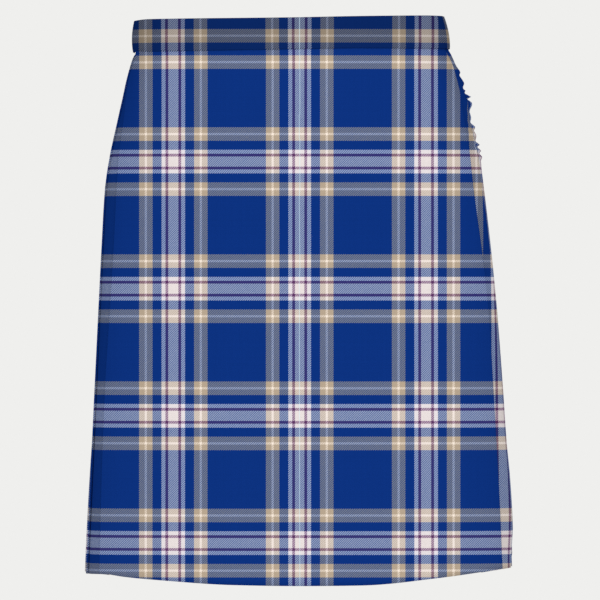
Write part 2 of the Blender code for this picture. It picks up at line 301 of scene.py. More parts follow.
# 0 down to the last level row, then rising to 1 at the hem
towards_hem = (LEVEL_ROWS_END - row_heights) / (LEVEL_ROWS_END - HEM_LEVEL)
towards_hem = np.clip(towards_hem, 0, 1)


def hem_height(across, behind):
    """The hem's height at places across the kilt, which run this far behind its side."""
    front, back = (through(*zip(*rows), across) for rows in (FRONT_HEM, BACK_HEM))
    return front + (back - front) * smooth_step(BEHIND_FROM, BEHIND_BY, behind)


def cloth_points(path, hem_lift=0.0):
    """Rows of points, 3 numbers each, for a piece whose path gives tape and depth."""
    rows = []
    for outline, height, share in zip(row_outlines, row_heights, towards_hem):
        x, y = outline.place(*path(outline, height))
        hem = hem_height(x, y - outline.level.side) + hem_lift
        z = height + share * (hem - row_heights[-1])
        rows.append(np.stack([x, y, z + 0 * x], axis=1))
    return np.array(rows)


print("rows:", len(row_heights), "from", row_heights[0], "to", row_heights[-1], "m")

# %% [markdown]
# ## From a grid of points to a piece of cloth
#
# A sheet of points becomes a thin shell: one face for each cell, and a Solidify modifier
# for the worsted's thickness, so that a cut edge has two sides. Each piece also carries a
# UV map in metres. U runs along the strip of cloth and V down it, with 0 at the middle of
# a white stripe, so the tartan follows the cloth into every fold and not the space
# around it. Where cloth is hidden inside a pleat the map may jump, so U is given twice:
# at the left and at the right end of every cell.

# %% The cloth maker
WORSTED = 0.0008  # a firm 16 ounce worsted


def add_object(name, data):
    """A new object in the scene, at the origin."""
    made = bpy.data.objects.new(name, data)
    bpy.context.scene.collection.objects.link(made)
    return made


def cloth_piece(name, points, u, v, u_end=None):
    """A piece of cloth through rows of points, with its tartan map and its thickness."""
    rows, columns = points.shape[:2]
    u_end = u if u_end is None else u_end
    index = np.arange(rows * columns).reshape(rows, columns)
    corners = [index[:-1, :-1], index[1:, :-1], index[1:, 1:], index[:-1, 1:]]
    faces = np.stack(corners, axis=-1).reshape(-1, 4)
    mesh = bpy.data.meshes.new(name)
    mesh.from_pydata(points.reshape(-1, 3).tolist(), [], faces.tolist())
    us = np.stack([u[:-1, :-1], u[1:, :-1], u_end[1:, 1:], u_end[:-1, 1:]], axis=-1)
    vs = np.stack([v[:-1, :-1], v[1:, :-1], v[1:, 1:], v[:-1, 1:]], axis=-1)
    uv = np.stack([us, vs], axis=-1).reshape(-1)
    mesh.uv_layers.new(name="cloth").data.foreach_set("uv", uv.astype(np.float32))
    mesh.shade_smooth()
    made = add_object(name, mesh)
    wall = made.modifiers.new("worsted", "SOLIDIFY")
    wall.thickness = WORSTED
    wall.offset = 0.0
    wall.use_even_offset = True
    return made


def dress(piece, finish, slot, *nodes):
    """Gives a piece its material, its place on the kilt and the nodes it stands for."""
    piece.data.materials.append(finish)
    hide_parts(*nodes)
    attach(piece, "root")


# %% [markdown]
# ## The tartan
#
# Tartan is woven, not printed: the same colours cross each other in warp and weft, so
# there are only a few yarns but a whole range of mixed squares. An image texture would
# be quick but fixed in size, so the material works like the loom. It finds which warp
# thread and which weft thread pass under each point, looks both up in one thread count
# that runs forwards and then backwards, and lets a 2/2 twill decide which of them is on
# top. The twill also sets the bump, which gives the fine diagonal ribs. Soft wool blurs
# into its neighbours, so a thread on top keeps about three quarters of its own colour and
# takes the rest from the thread it crosses. Wool this dull has no shine at all, so the
# shader's specular reflection is turned off.

# %% The thread count and the yarns
Stripe = namedtuple("Stripe", "yarn threads")
HALF_SETT = table(
    Stripe,
    ("white", 9),
    ("purple", 5),
    ("ice", 7),
    ("blue", 16),
    ("tan", 10),
    ("cream", 4),
    ("tan", 10),
    ("blue", 52),
)
THREADS = sum(stripe.threads for stripe in HALF_SETT)
SETT_ACROSS = 0.1355
SETT_DOWN = 0.1359
YARN_ACROSS = SETT_ACROSS / (2 * THREADS)
YARN_DOWN = SETT_DOWN / (2 * THREADS)
YARNS = {
    "blue": (0.0042, 0.0328, 0.2160),
    "tan": (0.4800, 0.3820, 0.2800),
    "cream": (0.9500, 0.8300, 0.7150),
    "white": (0.8350, 0.7600, 0.7450),
    "ice": (0.8000, 0.7650, 0.8200),
    "purple": (0.1150, 0.0370, 0.1300),
}
OWN_COLOUR = 0.755  # how much of its own colour a thread on top keeps
BLENDING = 4.0  # colours blend as this root of their light, where dark ones weigh more
DYED_FROM, DYED_RANGE = 0.965, 0.07  # each thread takes the dye a little differently
# The painted highlight along the pressed line at the centre front: half its width and its
# place, in threads, and how much of the highlight's colour it takes
PRESSED_HALF, PRESSED_AT, PRESSED_HIGHLIGHT_SHARE = 0.85, 0.3, 0.55
PRESSED_HIGHLIGHT_COLOUR = (0.93, 0.99, 1.0, 1.0)
ROUNDNESS = -2.5  # how steeply a yarn falls away from its middle
FIBRES, FIBRE_RELIEF = 900.0, 0.5  # loose fibres, much finer than the yarns
RIB_STRENGTH, RIB_HEIGHT = 0.35, 0.00012
print(f"{2 * THREADS} threads in a sett of {SETT_ACROSS * 1000:.1f} mm")


class Nodes:
    """Short ways to add shader nodes and join them."""

    def __init__(self, tree):
        self.tree = tree

    def feed(self, node, values):
        """Inputs by name or number: a socket is linked, a value is set."""
        for key, value in values.items():
            if isinstance(value, bpy.types.NodeSocket):
                self.tree.links.new(value, node.inputs[key])
            elif value is not None:
                node.inputs[key].default_value = value
        return node

    def add(self, kind, *inputs, **settings):
        """A new node with its settings, and its inputs in order."""
        node = self.tree.nodes.new(kind)
        for key, value in settings.items():
            setattr(node, key, value)
        return self.feed(node, dict(enumerate(inputs)))

    def maths(self, operation, *inputs):
        """One Math node, and its result."""
        return self.add("ShaderNodeMath", *inputs, operation=operation).outputs[0]

    def mix(self, factor, first, second, blend="MIX"):
        """Two colours mixed, and the result."""
        node = self.add("ShaderNodeMix", data_type="RGBA", blend_type=blend)
        return self.feed(node, {0: factor, 6: first, 7: second}).outputs[2]


# %% The worsted
def new_material(name):
    """An empty material: its node helper and its Principled shader."""
    made = bpy.data.materials.new(name)
    made.use_nodes = True
    shader = made.node_tree.nodes["Principled BSDF"]
    return made, Nodes(made.node_tree), shader


def plain_finish(name, colour, roughness, metallic=0.0):
    """A material of one colour."""
    made, nodes, shader = new_material(name)
    values = {"Base Color": (*colour, 1.0), "Roughness": roughness, "Metallic": metallic}
    nodes.feed(shader, values)
    return made


def yarn_colour(nodes, thread, ground, painted_shade_factor):
    """The colour of this thread in the count, which runs out and back again."""
    place = nodes.maths("PINGPONG", nodes.maths("ADD", thread, 0.5), float(THREADS))
    ramp = nodes.add("ShaderNodeValToRGB", nodes.maths("DIVIDE", place, float(THREADS)))
    stops = ramp.color_ramp
    stops.interpolation = "CONSTANT"
    start = 0
    for number, stripe in enumerate(HALF_SETT):
        position = start / THREADS
        stop = stops.elements[number] if number < 2 else stops.elements.new(position)
        stop.position = position
        # The factor darkens the yarns as painted shade; at 1 there is none
        stop.color = (*(painted_shade_factor * part for part in YARNS[stripe.yarn]), 1.0)
        if stripe.yarn == "blue":
            stop.color = (*ground, 1.0)
        start += stripe.threads
    return ramp.outputs[0]


def tartan_worsted(name, ground, painted_shade_factor):
    """Twill-woven tartan wool on the piece's own cloth map."""
    made, nodes, shader = new_material(name)
    cloth_map = nodes.add("ShaderNodeUVMap", uv_map="cloth").outputs[0]
    split = nodes.add("ShaderNodeSeparateXYZ", cloth_map)
    across = nodes.maths("DIVIDE", split.outputs[0], YARN_ACROSS)
    down = nodes.maths("DIVIDE", split.outputs[1], YARN_DOWN)
    warp, weft = nodes.maths("FLOOR", across), nodes.maths("FLOOR", down)
    softened = []
    for thread in (warp, weft):
        colour = yarn_colour(nodes, thread, ground, painted_shade_factor)
        noise = nodes.add("ShaderNodeTexWhiteNoise", None, thread, noise_dimensions="1D")
        shade = nodes.maths("MULTIPLY_ADD", noise.outputs[0], DYED_RANGE, DYED_FROM)
        varied = nodes.mix(1.0, colour, shade, "MULTIPLY")
        softened.append(nodes.add("ShaderNodeGamma", varied, 1 / BLENDING).outputs[0])
    # 2/2 twill: over two and under two, one thread further along in every row
    step = nodes.maths("FLOORED_MODULO", nodes.maths("SUBTRACT", warp, weft), 4.0)
    warp_on_top = nodes.maths("LESS_THAN", step, 1.5)
    share = nodes.maths("MULTIPLY_ADD", warp_on_top, 1 - 2 * OWN_COLOUR, OWN_COLOUR)
    woven = nodes.mix(share, softened[0], softened[1])
    # The centre front is pressed along one line of threads, and its glint is painted on as a
    # highlight
    off_centre = nodes.maths("ABSOLUTE", nodes.maths("ADD", across, PRESSED_AT))
    on_line = nodes.maths("LESS_THAN", off_centre, PRESSED_HALF)
    pressed = nodes.maths("MULTIPLY", on_line, PRESSED_HIGHLIGHT_SHARE)
    woven = nodes.mix(pressed, woven, PRESSED_HIGHLIGHT_COLOUR)
    cloth_colour = nodes.add("ShaderNodeGamma", woven, BLENDING).outputs[0]
    # The yarns are round, so each stands up along its middle
    heights = []
    for reading, thread in ((across, warp), (down, weft)):
        from_middle = nodes.maths("SUBTRACT", nodes.maths("SUBTRACT", reading, thread), 0.5)
        squared = nodes.maths("MULTIPLY", from_middle, from_middle)
        heights.append(nodes.maths("MULTIPLY_ADD", squared, ROUNDNESS, 1.0))
    difference = nodes.maths("SUBTRACT", heights[0], heights[1])
    relief = nodes.maths("MULTIPLY_ADD", warp_on_top, difference, heights[1])
    fibre = nodes.add("ShaderNodeTexNoise", nodes.add("ShaderNodeTexCoord").outputs["Object"])
    nodes.feed(fibre, {"Scale": FIBRES, "Detail": 3.0})
    relief = nodes.maths("MULTIPLY_ADD", fibre.outputs[0], FIBRE_RELIEF, relief)
    bump = nodes.add("ShaderNodeBump")
    nodes.feed(bump, {"Strength": RIB_STRENGTH, "Distance": RIB_HEIGHT, "Height": relief})
    nodes.feed(shader, {"Base Color": cloth_colour, "Normal": bump.outputs[0]})
    nodes.feed(shader, {"Roughness": 0.9, "Specular IOR Level": 0.0})
    return made


kilt_worsted = tartan_worsted("kilt_worsted", YARNS["blue"], 1.0)
# The band's ground and yarns are darker: painted shade on the band
band_worsted = tartan_worsted("band_worsted", (0.0033, 0.0203, 0.1221), 0.62)
print("materials:", kilt_worsted.name, band_worsted.name)

# %% [markdown]
# ## The outer apron
#
# The flat outer end of the strip covers the front. A kilt maker presses it, fringes or
# faces its free edge and turns its other edge under, where the first pleat starts. It
# could be one flat panel bent round the body, but the turned edge is what makes it look
# like cloth, so the grid runs from the free edge across the front, round the turn and
# back under it. The tartan hangs straight here: U is simply the distance across the
# front, and a pressed line at the centre takes in a thread or two. Worsted still shows a
# few long soft ripples, uneven in length and width. Both edges stand a little off the
# cloth under them, more and more towards the hem, so each throws a soft edge of shade.

# %% The outer apron
CLOTH_MIDDLE = 0.0005  # from the outline to the middle of the cloth
CENTRE_WHITE = 0.0093  # the middle of the white stripe at the centre front
CREASE_TAKES = 0.0009  # the cloth that the pressed line there takes in
WHITE_HEIGHT = -0.2736  # the middle of a white stripe across
APRON_COLUMNS = 84
FIRST_COLUMN, LAST_COLUMN = 0.0010, 0.004  # from the free edge, and from the fold
EDGE_LIFT = 0.0075  # how far the free edge stands off the pleats at the hem
EDGE_LIFT_WIDTH = 0.075
EDGE_LOOSE_FROM = 0.150  # it would lie flat at this height
FOLD_LIFT = 0.0045  # how far the folded edge stands off the first pleat
FOLD_LIFT_WIDTH = 0.060
FOLD_LOOSE_BY = -0.200  # from the band to here the lift grows
RIPPLE_GROWS = 0.22  # a ripple takes this length to reach its full height
BEFORE_TURN = 0.0012  # the face ends and the cloth under it starts this far from the fold
TURN_READING = 0.0024  # the cloth that the turn itself takes

Ripple = namedtuple("Ripple", "at_hip at_hem start width rise")
APRON_RIPPLES = table(
    Ripple,
    (-0.150, -0.140, -0.10, 0.011, 0.0011),
    (-0.108, -0.118, -0.22, 0.017, 0.0014),
    (-0.040, -0.035, -0.30, 0.022, 0.0010),
    (0.018, 0.009, -0.24, 0.014, 0.0008),
    (0.070, 0.062, -0.18, 0.019, 0.0013),
    (0.122, 0.133, -0.12, 0.016, 0.0015),
    (0.168, 0.184, -0.20, 0.012, 0.0010),
)


def apron_relief(across, height):
    """How far the pressed apron stands out in its long soft ripples."""
    relief = 0.0 * across
    for ripple in APRON_RIPPLES:
        down = smooth_step(HIP, HEM_LEVEL, height)
        middle = ripple.at_hip + (ripple.at_hem - ripple.at_hip) * (1 - (1 - down) ** 2)
        grown = smooth_step(ripple.start, ripple.start - RIPPLE_GROWS, height)
        relief = relief + ripple.rise * grown * np.exp(-(((across - middle) / ripple.width) ** 2))
    return relief


def outer_apron():
    """The outer apron's points and its tartan map, row by row."""
    grids = []

    def path(outline, height):
        edge, root = outline.fold(0), outline.fold(-1)
        half = outline.pitch / 2
        lift = FOLD_LIFT * float(smooth_step(BAND_BOTTOM, FOLD_LOOSE_BY, height))
        # The raised fold keeps its place across the front, so it lies back along the tape
        flat_x, raised_x = outline.place(edge, np.array([0.0, -lift]))[0]
        edge = outline.at_front(2 * flat_x - raised_x)
        face = join(
            outline.free + np.array([0.0, FIRST_COLUMN]),
            np.linspace(outline.free, edge - LAST_COLUMN, APRON_COLUMNS)[1:],
            [edge - BEFORE_TURN],
        )
        relief = apron_relief(outline.place(face, 0.0)[0], height)
        loose = smooth_step(EDGE_LOOSE_FROM, HEM_LEVEL, height)
        from_edge = np.clip(1 - (face - outline.free) / EDGE_LIFT_WIDTH, 0, 1)
        relief = relief + EDGE_LIFT * loose * from_edge**2
        turn = edge + half * TURN_ALONG
        back = np.linspace(edge - BEFORE_TURN, root, 4)
        tape = join(face, turn, back)
        raised = lift * np.clip(1 - (edge - tape) / FOLD_LIFT_WIDTH, 0, 1) ** 2
        layer = (edge - back) / (edge - root)
        inward = join(-relief, half * TURN_IN, outline.pitch * (1 + 2 * layer))
        depth = CLOTH_MIDDLE + inward - raised
        across, _ = outline.place(face, depth[: len(face)])
        off_centre = across - CENTRE_WHITE
        off_centre += CREASE_TAKES / 2 * np.sign(off_centre)
        at_edge = off_centre[-1]
        turning = at_edge + half * np.array([1.0, 2.0, 3.0])
        grids.append(join(off_centre, turning, at_edge + TURN_READING + (edge - back)))
        return tape, depth

    points = cloth_points(path)
    return points, np.array(grids), points[:, :, 2] - WHITE_HEIGHT


points, u, v = outer_apron()
outer_apron_cloth = cloth_piece("outer_apron_cloth", points, u, v)
dress(outer_apron_cloth, kilt_worsted, "kilt_worsted", "outer_apron")
print("outer apron:", points.shape[0], "rows by", points.shape[1], "columns")

# %% [markdown]
# ## The pleats
#
# Thirty knife pleats take up the cloth round the back. Each comes out from under the one
# before it, turns at its fold and goes back again. On the cloth they are marked with
# chalk, so that the same part of the tartan shows in step across the back, which is
# called pleating to the sett. They could be made by Geometry Nodes on one line, but each
# pleat has to hang a little differently, so the grid is worked out here: every layer
# lies a set pitch inside the one over it, and a lift only ever opens a pleat outwards and
# fades to nothing at the fold before, which keeps the layers apart. Above the hip the
# pleats are sewn flat with a few small puckers, and below it they swing more and more.

# %% How each pleat hangs
WIDE_PLEAT = PLEATS - 1
LIFT_WAVE, LIFT_WAVES = 0.25, 15.0  # how much the folds' lift varies, and how often
LIFT_PAST_HEM = 0.03  # the lift would still grow for this far below the hem
SWAY_WAVE, SWAY_WAVES = 0.6, 7.0
swing = np.random.default_rng(1746)
pleat_reach = swing.uniform(0.0008, 0.0042, PLEATS + 1)
pleat_sway = swing.uniform(-0.0026, 0.0026, PLEATS + 1)
pleat_start = swing.uniform(-0.26, -0.16, PLEATS + 1)
pleat_phase = swing.uniform(0, 2 * np.pi, PLEATS + 1)
pleat_drop = swing.uniform(-0.0010, 0.0010, PLEATS + 1)
pleat_reach[[1, 2, 3]] = [0.0006, 0.0010, 0.0022]
pleat_reach[[27, 28, 29, 30]] = [0.0008, 0.0003, 0.0, 0.0]  # by and under the apron
pleat_sway[1] = 0.0024
pleat_sway[[28, 29, 30]] = 0.0

# Where cloth puffs out between the stitches of a sewn fold, how far, and over what length
# above and below it. Most come out slowly from above and are pulled in sharply below.
Pucker = namedtuple("Pucker", "height rise above below")
SIDE_PUCKERS = table(
    Pucker,
    (-0.0411, 0.0024, 0.0048, 0.0023),
    (-0.0529, 0.0028, 0.0059, 0.0031),
    (-0.0614, 0.0020, 0.0014, 0.0013),
    (-0.0675, 0.0058, 0.0020, 0.0013),
    (-0.0746, 0.0053, 0.0038, 0.0060),
    (-0.0907, 0.0013, 0.0074, 0.0021),
    (-0.0998, 0.0043, 0.0024, 0.0043),
    (-0.1090, 0.0031, 0.0073, 0.0044),
    (-0.1191, 0.0035, 0.0022, 0.0013),
    (-0.1258, 0.0030, 0.0024, 0.0016),
    (-0.1319, 0.0026, 0.0019, 0.0038),
    (-0.1417, 0.0006, 0.0025, 0.0013),
)


def beside(puckers, down, share):
    """The weaker puckers of a pleat next to one with these, a little lower down."""
    return [at._replace(height=at.height - down, rise=share * at.rise) for at in puckers]


pleat_puckers = {number: [] for number in range(1, PLEATS + 1)}
pleat_puckers[1] = beside(SIDE_PUCKERS, -0.0015, 0.35)
pleat_puckers[2] = SIDE_PUCKERS
pleat_puckers[3] = beside(SIDE_PUCKERS, 0.0020, 0.35)
for number in range(4, PLEATS - 3):
    places = swing.uniform(SEWN_ROWS_END + 0.005, BAND_BOTTOM - 0.015, 5)
    rises = swing.uniform(0.0002, 0.0016, 5)
    pleat_puckers[number] = [Pucker(*both, 0.0050, 0.0022) for both in zip(places, rises)]


def pleat_lift(number, height):
    """How far the fold of a pleat stands out from the body at this height."""
    grown = smooth_step(pleat_start[number], HEM_LEVEL - LIFT_PAST_HEM, height)
    wave = 1 + LIFT_WAVE * np.sin(pleat_phase[number] + LIFT_WAVES * height)
    puffs = 0.0
    for pucker in pleat_puckers[number]:
        reach = pucker.above if height > pucker.height else pucker.below
        puff = pucker.rise * np.exp(-(((height - pucker.height) / reach) ** 2))
        puffs = max(puffs, puff)
    return float(pleat_reach[number] * grown * wave + puffs)


def pleat_shift(number, height):
    """How far the fold of a pleat sways sideways at this height."""
    below = float(np.clip((HIP - height) / FREE_LENGTH, 0, 1))
    phase = pleat_phase[number]
    wave = np.sin(phase + SWAY_WAVES * below) - np.sin(phase)
    return float(pleat_sway[number] * below * (1 + SWAY_WAVE * wave))


# %% [markdown]
# The tartan on the pleats is set fold by fold. Each fold is chalked about one pleat's
# width further along the sett than the last, and a whole sett more is tucked inside.
# Above the hip the pleats taper, so less of the same cloth shows. Next to the outer
# apron the cloth is eased in from the apron's own stripes.

# %% The pleated back
REVEAL = 0.02747  # how far the tartan moves on from one fold to the next
WIDE_READING = 0.0985  # where the fold of the wide pleat lies in the sett
SIDE_READING = 0.0420  # the same for the fold before it
APRON_TO_PLEATS = 0.0408  # the cloth between the apron's fold and the first pleat's
EASED_PLEATS = 2
EASE = 0.5  # how much less cloth lies in a metre there
# The centre front's pressed line carries a painted highlight, which no pleat may show
FAR_SETTS = 10  # so that no pleat shows the pressed line of the centre front


def sewn_reading(number):
    """Where the fold of a pleat lies in the tartan, as it was chalked."""
    if number >= WIDE_PLEAT:
        return WIDE_READING + (number - WIDE_PLEAT) * REVEAL
    return SIDE_READING + (number - WIDE_PLEAT + 1) * REVEAL


def eased_reading(number, outline):
    """The same, where the cloth follows on from the apron's own stripes."""
    return outline.level.folded_edge + APRON_TO_PLEATS + EASE * number * outline.pleat


hip = Outline(HIP)
whole_setts = {
    number: round((eased_reading(number, hip) - sewn_reading(number)) / SETT_ACROSS)
    for number in range(1, EASED_PLEATS + 1)
}


def fold_reading(number, outline):
    """Where the fold of a pleat lies in the tartan, and how much cloth lies in a metre."""
    sewn = sewn_reading(number)
    share = float(np.clip(1 - (number - 1) / EASED_PLEATS, 0, 1))
    if share:
        sewn += whole_setts[number] * SETT_ACROSS
        sewn = share * eased_reading(number, outline) + (1 - share) * sewn
    return sewn + FAR_SETTS * SETT_ACROSS, 1 - EASE * share


def shares(number):
    """Where the columns of a pleat stand: inside, along its face and back again."""
    back = np.array([0.66, 0.33, 0])
    if number > WIDE_PLEAT:
        return np.linspace(0, 1, 9)[:-1], np.array([0, 0.4, 0.8]), back
    inside = np.array([0, 0.5])
    if number == WIDE_PLEAT:
        return inside, np.append(np.linspace(0, 0.94, 14), 0.98), np.linspace(0.9, 0, 8)
    return inside, np.array([0, 0.2, 0.4, 0.6, 0.8, 0.93]), back


def pleat_columns(number, outline, height):
    """One pleat at one level: tape readings, depths, and places along the cloth."""
    hidden, behind = outline.fold(number - 2), outline.fold(number - 1)
    edge = outline.fold(number) + pleat_shift(number, height)
    lift = pleat_lift(number, height)
    inside, face, back = shares(number)
    half = outline.pitch / 2
    tape = join(
        hidden + (behind - hidden) * inside,
        behind + (edge - behind) * face,
        edge + half * TURN_ALONG,
        behind + (edge - behind) * back,
    )
    layer = join(4 - 2 * inside, 2 - 2 * face, TURN_IN / 2, 3 - 2 * back)
    out = join(0 * inside, face, [1, 1, 1], back) * lift
    depth = CLOTH_MIDDLE + layer * outline.pitch + outline.underlay(tape) - out
    at_fold, scale = fold_reading(number, outline)
    before = len(inside) + len(face)
    along = join(
        at_fold - scale * (edge - tape[:before]),
        at_fold + half * np.array([0.0, 1.0, 2.0]),
        at_fold + 2 * half + scale * (edge - tape[before + 3 :]),
    )
    return tape, depth, along


def pleated_back():
    """The points of all the pleats, and their tartan map at both ends of each cell."""
    starts, ends = [], []

    def path(outline, height):
        columns = [pleat_columns(n, outline, height) for n in range(1, PLEATS + 1)]
        tape, depth, leaving = (join(*part) for part in zip(*columns))
        arriving = leaving.copy()
        first = 0
        for _, _, along in columns[:-1]:
            first += len(along)
            arriving[first] = along[-1] + outline.pitch
        starts.append(leaving)
        ends.append(arriving)
        return tape, depth

    points = cloth_points(path)
    counts = [len(join(*shares(n))) + 3 for n in range(1, PLEATS + 1)]
    points[:, :, 2] += towards_hem[:, None] ** 2 * np.repeat(pleat_drop[1:], counts)
    return points, np.array(starts), np.array(ends)


points, u, u_end = pleated_back()
v = points[:, :, 2] - WHITE_HEIGHT
pleated_back_cloth = cloth_piece("pleated_back_cloth", points, u, v, u_end)
dress(pleated_back_cloth, kilt_worsted, "kilt_worsted", "pleated_back")
print("pleats:", PLEATS, "and", points.shape[0] * points.shape[1], "points")

# %% [markdown]
# ## The under apron
#
# The other end of the strip runs on from the last pleat, inside the outer apron, and
# ends short of its fold. It is the same flat panel, so it is made the same way, with
# fewer columns because little of it shows: only its hem from below and its lining side
# from above.

# %% The under apron
UNDER_APRON_DEPTH = 0.0030
UNDER_APRON_SHORT = 0.030
UNDER_APRON_LIFT = 0.005
UNDER_COLUMNS = 64
SETTLING = 0.034  # the length over which it leaves the stack of pleats


def under_apron_path(outline, height):
    """From the last pleat's inner fold, under the outer apron to the other side."""
    root, last = outline.fold(PLEATS - 1), outline.fold(PLEATS)
    end = outline.round + outline.fold(-1) - UNDER_APRON_SHORT
    tape = join([root, (root + last) / 2], np.linspace(last, end, UNDER_COLUMNS))
    stacked = outline.level.underlay + 2 * outline.pitch
    resting = max(outline.level.underlay, UNDER_APRON_DEPTH)
    settled = smooth_step(last, last + SETTLING, tape)
    depth = CLOTH_MIDDLE + stacked + (resting - stacked) * settled
    depth[:2] = CLOTH_MIDDLE + np.array([4, 3]) * outline.pitch + outline.underlay(tape[:2])
    return tape, depth


points = cloth_points(under_apron_path, UNDER_APRON_LIFT)
steps = np.linalg.norm(np.diff(points[:, :, :2], axis=1), axis=2)
u = readings(steps, axis=1)
u += WIDE_READING + FAR_SETTS * SETT_ACROSS
v = points[:, :, 2] - WHITE_HEIGHT
under_apron_cloth = cloth_piece("under_apron_cloth", points, u, v)
dress(under_apron_cloth, kilt_worsted, "kilt_worsted", "under_apron")
print("under apron:", points.shape[0], "rows by", points.shape[1], "columns")

# %% [markdown]
# ## The waistband
#
# The band is its own strip of the same tartan, from a heavier cloth, with its yarns darkened
# as painted shade. It is sewn along the outside of the skirt, folded over the top and hemmed
# down inside, and both its ends are turned in. A solid ring would look like plastic, so it is
# one sheet that follows a pressed profile: up the outer face, over the top and down the inner
# one. Both its edges rise a little towards the wearer's left, and its face is slightly full.

# %% The waistband
TAB_PAST_SIDE = 0.006
BAND_PAST_CLOTH = 0.006
BAND_GAP = 0.0006
CAD_CLOTH = 0.0010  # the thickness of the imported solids' cloth
BAND_INNER_BOTTOM = -0.0150
STACK_FROM, STACK_BY = 0.020, 0.002  # before the first pleat's root the band opens
PAST_STACK = 0.004  # and from here past the last fold it closes again
COVERS_FROM, COVERS_BY = 0.080, 0.010  # before the tape's end the band lies under itself
BAND_TURNING = 0.0040  # the last of each end, where it is turned in
HEMMED_IN = 0.0003  # how far the inner edge is pulled in
LEAST_FACING = 0.35  # the least cloth for a metre of band where it turns away
BandEdge = namedtuple("BandEdge", "across top bottom")
BAND_EDGES = table(
    BandEdge,
    (-0.1680, 0.0136, -0.0194),
    (-0.1540, 0.0148, -0.0192),
    (-0.1270, 0.0151, -0.0188),
    (0.0000, 0.0163, -0.0168),
    (0.0780, 0.0178, -0.0156),
    (0.1550, 0.0188, -0.0158),
)
BAND_WHITE_HEIGHT = -0.0323
BAND_COLUMNS = 236


def band_depths(outline, tape):
    """The depths of the band's outer and inner leaf along it."""
    beside = BAND_GAP + CAD_CLOTH / 2
    single = CAD_CLOTH + beside
    stack = 4 * outline.pitch + single
    root, last = outline.fold(-1), outline.fold(PLEATS)
    into_pleats = smooth_step(root - STACK_FROM, root - STACK_BY, tape)
    past_pleats = smooth_step(last + PAST_STACK, last + SETTLING, tape)
    under = outline.underlay(np.minimum(tape, outline.round))
    return under - beside, under + single + (stack - single) * (into_pleats - past_pleats)


# Each part of the profile: the lower edge, heights up the face, shares over the pressed
# top and of its rise, and heights inside
BAND_HEM = [(0.0009, 0.0005), (0.0001, 0.0004), (0.0000, 0.0001), (0.0007, 0.0)]
BAND_FACE = [0.08, 0.2, 0.35, 0.5, 0.65, 0.8, 0.92]
BAND_OVER = [(0, 0), (0.04, 0.7), (0.17, 0.93), (0.5, 1), (0.83, 0.93), (0.96, 0.7), (1, 0)]
BAND_INSIDE = [0.75, 0.5, 0.25, 0.06, 0.0]
BAND_FULLNESS = 0.0015
BAND_FOLD = 0.0024


def waistband():
    """The band's points and its tartan map, one row for each line along it."""
    rounded = np.array([0.15, 0.6, 0.92])
    turned = np.array([0.0, 0.0005, 0.0016])
    lower, upper = Outline(BAND_BOTTOM), Outline(BAND_TOP)
    ends = []
    for outline in (lower, upper):
        last = outline.round + outline.fold(-1) - UNDER_APRON_SHORT + BAND_PAST_CLOTH
        knots = [0.0, outline.free, outline.fold(-1), outline.fold(PLEATS), last]
        ends.append(np.array(knots) - np.array([TAB_PAST_SIDE, 0, 0, 0, 0]))
    start, end = ends[0][0], ends[0][-1]
    inner = np.linspace(start + BAND_TURNING, end - BAND_TURNING, BAND_COLUMNS)
    tape = join(start + turned, inner, end - turned[::-1])
    tapes = [tape, np.interp(tape, *ends)]
    apart = join(rounded, np.ones(BAND_COLUMNS), rounded[::-1])
    leaves = []
    for outline, at in zip((lower, upper), tapes):
        outside, inside = band_depths(outline, at)
        middle, half = (outside + inside) / 2, (inside - outside) / 2 * apart
        leaves.append((middle - half, middle + half))

    def line(height, share, inset):
        """The points of one line: share is 0 on the outer leaf and 1 on the inner one."""
        up = (height - BAND_BOTTOM) / (BAND_TOP - BAND_BOTTOM)
        both = []
        for outline, at, (outside, inside) in zip((lower, upper), tapes, leaves):
            both.append(outline.place(at, outside + (inside - outside) * share + inset))
        x, y = (low + (high - low) * up for low, high in zip(*both))
        return np.stack([x, y, height + 0 * x], axis=1)

    flat_x, _ = lower.place(tape, 0.0)
    across, tops, bottoms = zip(*BAND_EDGES)
    top, bottom = through(across, tops, flat_x), through(across, bottoms, flat_x)
    fold = np.minimum(BAND_FOLD, (leaves[1][1] - leaves[1][0]) / 2)
    shoulder = top - fold
    under_edge = smooth_step(lower.round - COVERS_FROM, lower.round - COVERS_BY, tape)
    full = BAND_FULLNESS * (1 - under_edge)
    lines = [line(bottom + rise, 0.0, inset) for rise, inset in BAND_HEM]
    for share in BAND_FACE:
        height = bottom + share * (shoulder - bottom)
        lines.append(line(height, 0.0, -full * 4 * share * (1 - share)))
    for over, rise in BAND_OVER:
        lines.append(line(shoulder + fold * rise, over, 0.0))
    for share in BAND_INSIDE:
        height = BAND_INNER_BOTTOM + share * (shoulder - BAND_INNER_BOTTOM)
        lines.append(line(height, 1.0, 0.0 if share else -HEMMED_IN))
    points = np.array(lines)
    # V follows the profile, and U is the distance across until the band turns back
    steps = np.linalg.norm(np.diff(points, axis=0), axis=2)
    v = readings(steps)
    v += points[3, :, 2] - v[3] - BAND_WHITE_HEIGHT
    middle_row = points[len(BAND_HEM) + len(BAND_FACE) // 2]
    along = np.linalg.norm(np.diff(middle_row[:, :2], axis=0), axis=1)
    facing = np.abs(np.diff(middle_row[:, 0])) / along
    turning = smooth_step(lower.fold(-2), lower.fold(3), (tape[1:] + tape[:-1]) / 2)
    scale = np.maximum(np.maximum(facing, LEAST_FACING), turning)
    u = readings(scale * along)
    front = slice(0, BAND_COLUMNS // 3)
    u -= np.interp(CENTRE_WHITE, middle_row[front, 0], u[front])
    # Across the front the stripes are upright, so there U follows each point
    upright = 1 - smooth_step(lower.fold(-1), lower.fold(1), tape)
    return points, u + upright * (points[:, :, 0] - middle_row[:, 0]), v


